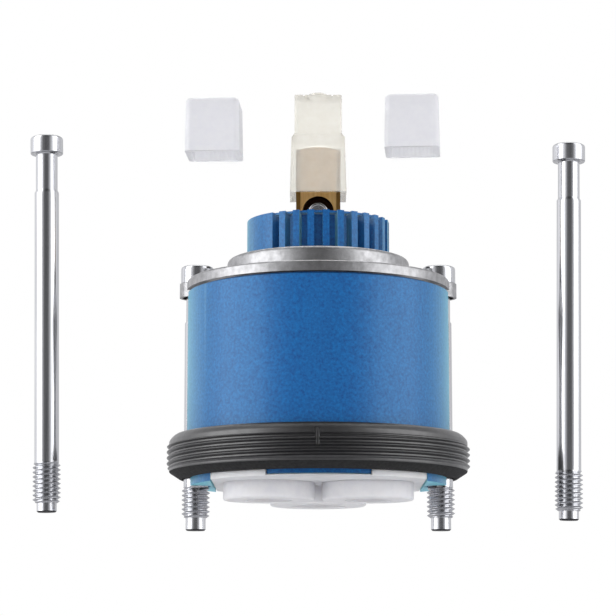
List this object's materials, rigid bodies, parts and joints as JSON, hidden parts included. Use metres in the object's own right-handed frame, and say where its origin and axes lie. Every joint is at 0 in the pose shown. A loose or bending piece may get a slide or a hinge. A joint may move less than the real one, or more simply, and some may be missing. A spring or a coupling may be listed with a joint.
{
  "type": "ceramic disc tap cartridge",
  "caption": "Single-lever mixer cartridge with ceramic discs, splined neck, clamp flange, threaded ring, round seals, fixing screws, spare screws and lever caps.",
  "frame": {"origin": "on the body's axis in the seat plane under the seals, midway between the fixing screws", "axes": "+Z along the body's axis towards the lever, +X from one fixing screw to the other, -Y the front, on the side of the limiter screw"},
  "size_m": [0.0993, 0.053, 0.0774],
  "materials": {
    "blue_body": "fine moulded grain",
    "die_cast": "satin die casting",
    "black_ring": "satin",
    "milky_plate": "translucent moulded",
    "seal_rubber": "translucent silicone",
    "black_rubber": "matte",
    "ceramic": "lapped",
    "acetal": "moulded",
    "lever_brass": "drawn and milled",
    "milky_adaptor": "translucent moulded",
    "screw_steel": "bright zinc",
    "cap_plastic": "translucent moulded"
  },
  "bodies": {
    "cartridge": {"housing": "blue_body", "clamp_flange": "die_cast", "thread_ring": "black_ring", "base_plate": "milky_plate", "inlet_seal_left": "seal_rubber", "inlet_seal_right": "seal_rubber", "outlet_seal": "seal_rubber", "disc_seals": "black_rubber", "fixed_disc": "ceramic", "thrust_washer": "acetal", "spare_screw_left": "screw_steel", "spare_screw_right": "screw_steel", "lever_cap_left": "cap_plastic", "lever_cap_right": "cap_plastic"},
    "carrier": {"lever_carrier": "acetal", "pivot_pin": "screw_steel"},
    "lever": {"lever": "lever_brass", "limiter_screw": "screw_steel", "lever_adaptor": "milky_adaptor"},
    "mixing_disc": {"moving_disc": "ceramic", "driver_seal": "black_rubber", "disc_driver": "acetal"},
    "left_screw": {"fixing_screw_left": "screw_steel"},
    "right_screw": {"fixing_screw_right": "screw_steel"}
  },
  "joints": [
    {"name": "lever_turn", "type": "hinge", "parent": "cartridge", "child": "carrier", "pos_m": [0, 0, 0.04], "axis": [0, 0, 1], "range_deg": [-50, 50]},
    {"name": "lever_lift", "type": "hinge", "parent": "carrier", "child": "lever", "pos_m": [0, 0, 0.04], "axis": [-1, 0, 0], "range_deg": [0, 22]},
    {"name": "disc_slide", "type": "slide", "parent": "carrier", "child": "mixing_disc", "axis": [0, -1, 0], "range_m": [0, 0.0046]},
    {"name": "left_screw_turn", "type": "hinge", "parent": "cartridge", "child": "left_screw", "pos_m": [-0.0214, 0, 0.02], "axis": [0, 0, 1], "continuous": true},
    {"name": "right_screw_turn", "type": "hinge", "parent": "cartridge", "child": "right_screw", "pos_m": [0.0214, 0, 0.02], "axis": [0, 0, 1], "continuous": true}
  ],
  "couplings": [
    {"joint": "disc_slide", "follows": "lever_lift", "m_per_rad": 0.011707}
  ]
}
